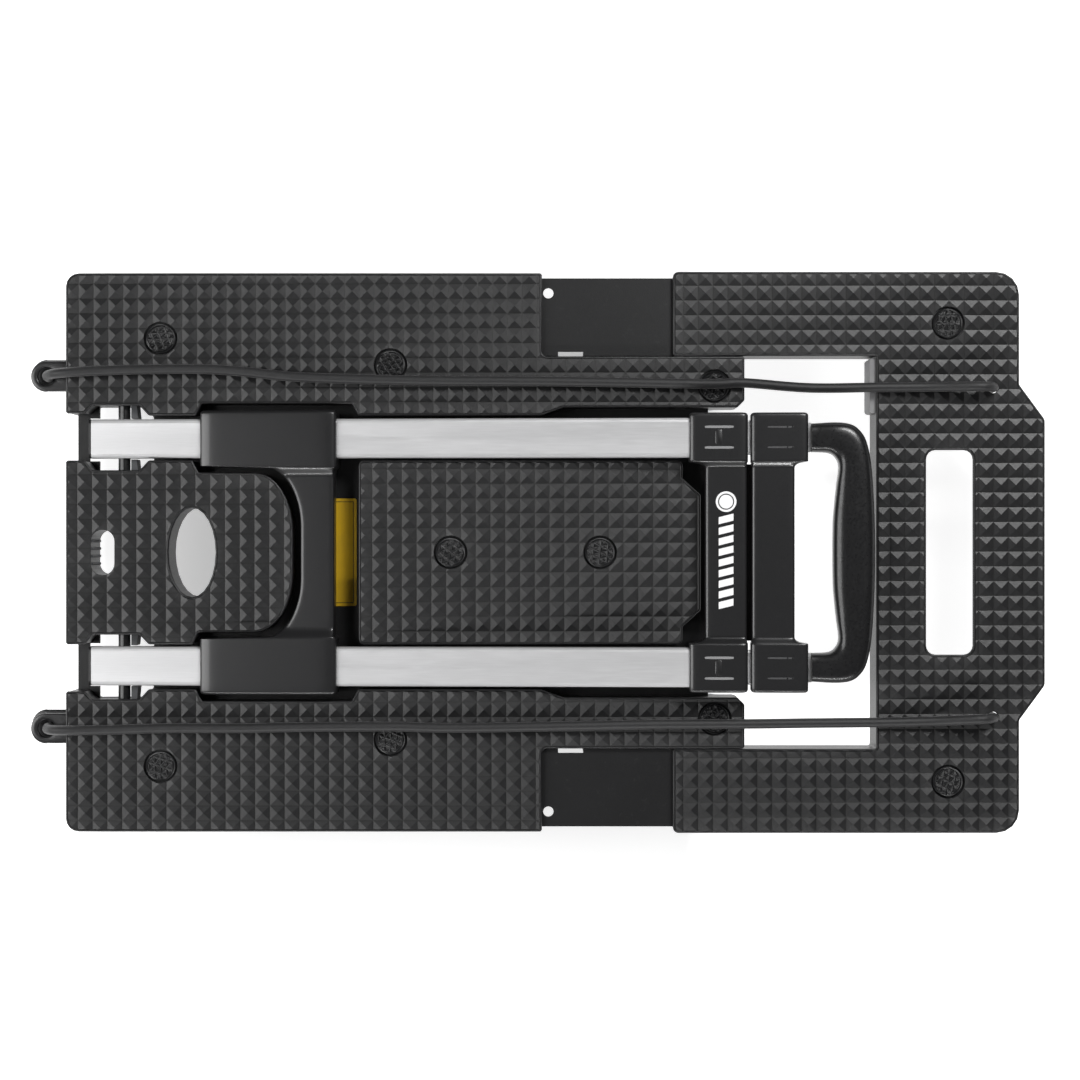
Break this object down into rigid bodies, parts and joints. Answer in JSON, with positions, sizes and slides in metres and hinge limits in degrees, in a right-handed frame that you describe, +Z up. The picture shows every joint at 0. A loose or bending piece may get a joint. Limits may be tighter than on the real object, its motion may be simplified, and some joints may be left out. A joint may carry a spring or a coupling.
{
  "type": "folding platform cart",
  "caption": "Low folding platform cart with a sliding front extension, a folding telescopic handle, load ropes and casters.",
  "frame": {"origin": "centre of the cart's footprint, on the floor, with the extension pulled out", "axes": "+X towards the front extension, +Y the cart's left side, +Z up"},
  "size_m": [0.7271, 0.401, 0.1246],
  "materials": {
    "black_polypropylene": "moulded, satin",
    "glossy_black_nylon": "polished mould",
    "satin_aluminium": "satin anodised",
    "zinc_plated_steel": "zinc plated",
    "wheel_rubber": "grey thermoplastic rubber",
    "grey_rubber": "matt",
    "black_braid": "braided sheath",
    "yellow_label": "printed film"
  },
  "bodies": {
    "deck": {"main_deck": "black_polypropylene", "guide_plate_left": "black_polypropylene", "guide_plate_right": "black_polypropylene", "pivot_pin_left": "black_polypropylene", "pivot_pin_right": "black_polypropylene", "plug_1": "black_polypropylene", "plug_2": "black_polypropylene", "plug_3": "black_polypropylene", "plug_4": "black_polypropylene", "plug_5": "black_polypropylene", "plug_6": "black_polypropylene", "plug_9": "black_polypropylene", "plug_10": "black_polypropylene", "deck_caster_mount_left": "zinc_plated_steel", "deck_caster_mount_right": "zinc_plated_steel", "rear_wheel_bracket_left": "zinc_plated_steel", "rear_wheel_bracket_right": "zinc_plated_steel", "rear_wheel_axle_left": "zinc_plated_steel", "rear_wheel_axle_right": "zinc_plated_steel", "floor_label": "yellow_label", "rope_left": "black_braid", "rope_right": "black_braid", "rope_hook_left": "black_polypropylene", "rope_hook_right": "black_polypropylene"},
    "extension": {"extension_deck": "black_polypropylene", "edge_buffer": "grey_rubber", "plug_7": "black_polypropylene", "plug_8": "black_polypropylene", "nose_caster_mount_left": "zinc_plated_steel", "nose_caster_mount_right": "zinc_plated_steel"},
    "lock_pin_left": {"lock_pin_left": "grey_rubber"},
    "lock_pin_right": {"lock_pin_right": "grey_rubber"},
    "handle_base": {"outer_tube_left": "satin_aluminium", "outer_tube_right": "satin_aluminium", "tube_cap_left": "black_polypropylene", "tube_cap_right": "black_polypropylene", "lower_bracket": "black_polypropylene", "middle_bracket": "black_polypropylene"},
    "handle_middle": {"middle_tube_left": "satin_aluminium", "middle_tube_right": "satin_aluminium", "upper_bracket": "black_polypropylene"},
    "handle_top": {"inner_tube_left": "satin_aluminium", "inner_tube_right": "satin_aluminium", "grip": "glossy_black_nylon"},
    "grip_button": {"grip_button": "grey_rubber"},
    "deck_caster_left": {"deck_caster_fork_left": "zinc_plated_steel", "deck_caster_axle_left": "zinc_plated_steel"},
    "deck_wheel_left": {"deck_wheel_left": "wheel_rubber"},
    "deck_caster_right": {"deck_caster_fork_right": "zinc_plated_steel", "deck_caster_axle_right": "zinc_plated_steel"},
    "deck_wheel_right": {"deck_wheel_right": "wheel_rubber"},
    "nose_caster_left": {"nose_caster_fork_left": "zinc_plated_steel", "nose_caster_axle_left": "zinc_plated_steel"},
    "nose_wheel_left": {"nose_wheel_left": "wheel_rubber"},
    "nose_caster_right": {"nose_caster_fork_right": "zinc_plated_steel", "nose_caster_axle_right": "zinc_plated_steel"},
    "nose_wheel_right": {"nose_wheel_right": "wheel_rubber"},
    "rear_wheel_left": {"rear_wheel_left": "wheel_rubber"},
    "rear_wheel_right": {"rear_wheel_right": "wheel_rubber"}
  },
  "joints": [
    {"name": "extension_slide", "type": "slide", "parent": "deck", "child": "extension", "axis": [-1, 0, 0], "range_m": [0, 0.09], "deforming": ["rope_left", "rope_right"]},
    {"name": "lock_left", "type": "slide", "parent": "deck", "child": "lock_pin_left", "axis": [0, 0, 1], "range_m": [0, 0.0035]},
    {"name": "lock_right", "type": "slide", "parent": "deck", "child": "lock_pin_right", "axis": [0, 0, 1], "range_m": [0, 0.0035]},
    {"name": "handle_fold", "type": "hinge", "parent": "deck", "child": "handle_base", "pos_m": [-0.31, 0, 0.0879], "axis": [0, -1, 0], "range_deg": [0, 87.25]},
    {"name": "handle_middle_slide", "type": "slide", "parent": "handle_base", "child": "handle_middle", "axis": [0.9988, 0, 0.048], "range_m": [0, 0.21]},
    {"name": "handle_top_slide", "type": "slide", "parent": "handle_middle", "child": "handle_top", "axis": [0.9988, 0, 0.048], "range_m": [0, 0.21]},
    {"name": "button_press", "type": "slide", "parent": "handle_top", "child": "grip_button", "axis": [-0.048, 0, 0.9988], "range_m": [0, 0.003], "stiffness_N_per_m": 300},
    {"name": "deck_swivel_left", "type": "hinge", "parent": "deck", "child": "deck_caster_left", "pos_m": [0.114, 0.119, 0.05], "axis": [0, 0, 1], "continuous": true},
    {"name": "deck_roll_left", "type": "hinge", "parent": "deck_caster_left", "child": "deck_wheel_left", "pos_m": [0.1, 0.119, 0.025], "axis": [0, 1, 0], "continuous": true},
    {"name": "deck_swivel_right", "type": "hinge", "parent": "deck", "child": "deck_caster_right", "pos_m": [0.114, -0.119, 0.05], "axis": [0, 0, 1], "continuous": true},
    {"name": "deck_roll_right", "type": "hinge", "parent": "deck_caster_right", "child": "deck_wheel_right", "pos_m": [0.1, -0.119, 0.025], "axis": [0, 1, 0], "continuous": true},
    {"name": "nose_swivel_left", "type": "hinge", "parent": "extension", "child": "nose_caster_left", "pos_m": [0.281, 0.164, 0.05], "axis": [0, 0, 1], "continuous": true},
    {"name": "nose_roll_left", "type": "hinge", "parent": "nose_caster_left", "child": "nose_wheel_left", "pos_m": [0.267, 0.164, 0.025], "axis": [0, 1, 0], "continuous": true},
    {"name": "nose_swivel_right", "type": "hinge", "parent": "extension", "child": "nose_caster_right", "pos_m": [0.281, -0.164, 0.05], "axis": [0, 0, 1], "continuous": true},
    {"name": "nose_roll_right", "type": "hinge", "parent": "nose_caster_right", "child": "nose_wheel_right", "pos_m": [0.267, -0.164, 0.025], "axis": [0, 1, 0], "continuous": true},
    {"name": "rear_roll_left", "type": "hinge", "parent": "deck", "child": "rear_wheel_left", "pos_m": [-0.2825, 0.153, 0.025], "axis": [0, 1, 0], "continuous": true},
    {"name": "rear_roll_right", "type": "hinge", "parent": "deck", "child": "rear_wheel_right", "pos_m": [-0.2825, -0.153, 0.025], "axis": [0, 1, 0], "continuous": true}
  ]
}
